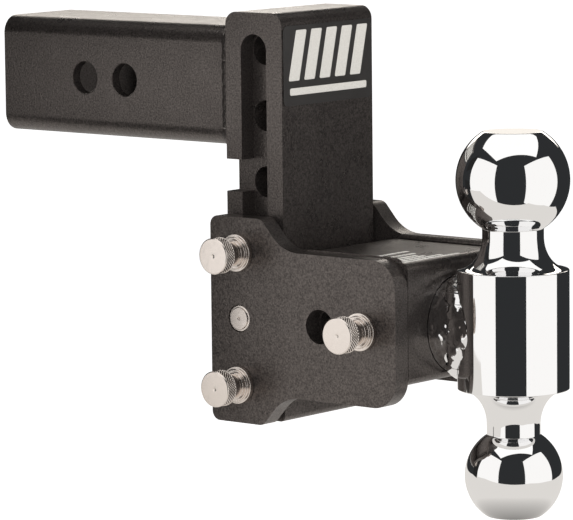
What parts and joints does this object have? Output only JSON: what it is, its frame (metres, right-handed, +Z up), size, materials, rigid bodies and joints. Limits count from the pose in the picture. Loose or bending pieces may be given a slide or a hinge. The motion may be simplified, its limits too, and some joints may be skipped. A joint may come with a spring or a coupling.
{
  "type": "adjustable dual-ball trailer hitch mount",
  "caption": "Height-adjustable drop ball mount with a square receiver shank, a slotted upright bar, a pinned two-plate carriage and a turned head with a large and a small hitch ball.",
  "frame": {"origin": "centre of the front receiver-pin hole, on the shank's axis", "axes": "+Y forwards along the shank to the towing vehicle, +Z up, +X to the vehicle's right"},
  "size_m": [0.144, 0.354, 0.2571],
  "materials": {
    "powder_coat": "textured charcoal powder coat on steel",
    "chrome": "bright chrome plate on turned steel",
    "nickel": "satin nickel plate",
    "silver_ink": null,
    "rubber": "matte black rubber",
    "brass": "turned brass"
  },
  "bodies": {
    "drawbar": {"shank_tube": "powder_coat", "shank_weld": "powder_coat", "upright_bar": "powder_coat", "emblem_plate": "silver_ink", "carriage_plate_left": "powder_coat", "carriage_plate_right": "powder_coat", "socket_block": "powder_coat", "block_weld_top_left": "powder_coat", "block_weld_top_right": "powder_coat", "block_weld_bottom_left": "powder_coat", "block_weld_bottom_right": "powder_coat", "pivot_stud_left": "nickel", "pivot_stud_right": "nickel", "dual_ball": "chrome", "ball_shaft": "chrome", "ball_weld": "chrome"},
    "upper_pin": {"upper_pin": "nickel"},
    "upper_pin_lock": {"upper_pin_lock": "nickel"},
    "upper_pin_key_plug": {"upper_pin_key_plug": "brass"},
    "upper_pin_dust_cap": {"upper_pin_dust_cap": "rubber"},
    "lower_pin": {"lower_pin": "nickel"},
    "lower_pin_lock": {"lower_pin_lock": "nickel"},
    "lower_pin_key_plug": {"lower_pin_key_plug": "brass"},
    "lower_pin_dust_cap": {"lower_pin_dust_cap": "rubber"},
    "ball_pin": {"ball_pin": "nickel"},
    "ball_pin_lock": {"ball_pin_lock": "nickel"},
    "ball_pin_key_plug": {"ball_pin_key_plug": "brass"},
    "ball_pin_dust_cap": {"ball_pin_dust_cap": "rubber"}
  },
  "joints": [
    {"name": "upper_pin_pull", "type": "slide", "parent": "drawbar", "child": "upper_pin", "axis": [-1, 0, 0], "range_m": [0, 0.125]},
    {"name": "upper_pin_lock_pull", "type": "slide", "parent": "drawbar", "child": "upper_pin_lock", "axis": [1, 0, 0], "range_m": [0, 0.03]},
    {"name": "upper_pin_key_turn", "type": "hinge", "parent": "upper_pin_lock", "child": "upper_pin_key_plug", "pos_m": [0.0662, -0.125, -0.0848], "axis": [1, 0, 0], "range_deg": [0, 90]},
    {"name": "upper_pin_cap_pull", "type": "slide", "parent": "upper_pin_lock", "child": "upper_pin_dust_cap", "axis": [1, 0, 0], "range_m": [0, 0.012]},
    {"name": "lower_pin_pull", "type": "slide", "parent": "drawbar", "child": "lower_pin", "axis": [-1, 0, 0], "range_m": [0, 0.125]},
    {"name": "lower_pin_lock_pull", "type": "slide", "parent": "drawbar", "child": "lower_pin_lock", "axis": [1, 0, 0], "range_m": [0, 0.03]},
    {"name": "lower_pin_key_turn", "type": "hinge", "parent": "lower_pin_lock", "child": "lower_pin_key_plug", "pos_m": [0.0662, -0.125, -0.1548], "axis": [1, 0, 0], "range_deg": [0, 90]},
    {"name": "lower_pin_cap_pull", "type": "slide", "parent": "lower_pin_lock", "child": "lower_pin_dust_cap", "axis": [1, 0, 0], "range_m": [0, 0.012]},
    {"name": "ball_pin_pull", "type": "slide", "parent": "drawbar", "child": "ball_pin", "axis": [-1, 0, 0], "range_m": [0, 0.125]},
    {"name": "ball_pin_lock_pull", "type": "slide", "parent": "drawbar", "child": "ball_pin_lock", "axis": [1, 0, 0], "range_m": [0, 0.03]},
    {"name": "ball_pin_key_turn", "type": "hinge", "parent": "ball_pin_lock", "child": "ball_pin_key_plug", "pos_m": [0.0662, -0.2072, -0.1198], "axis": [1, 0, 0], "range_deg": [0, 90]},
    {"name": "ball_pin_cap_pull", "type": "slide", "parent": "ball_pin_lock", "child": "ball_pin_dust_cap", "axis": [1, 0, 0], "range_m": [0, 0.012]}
  ]
}
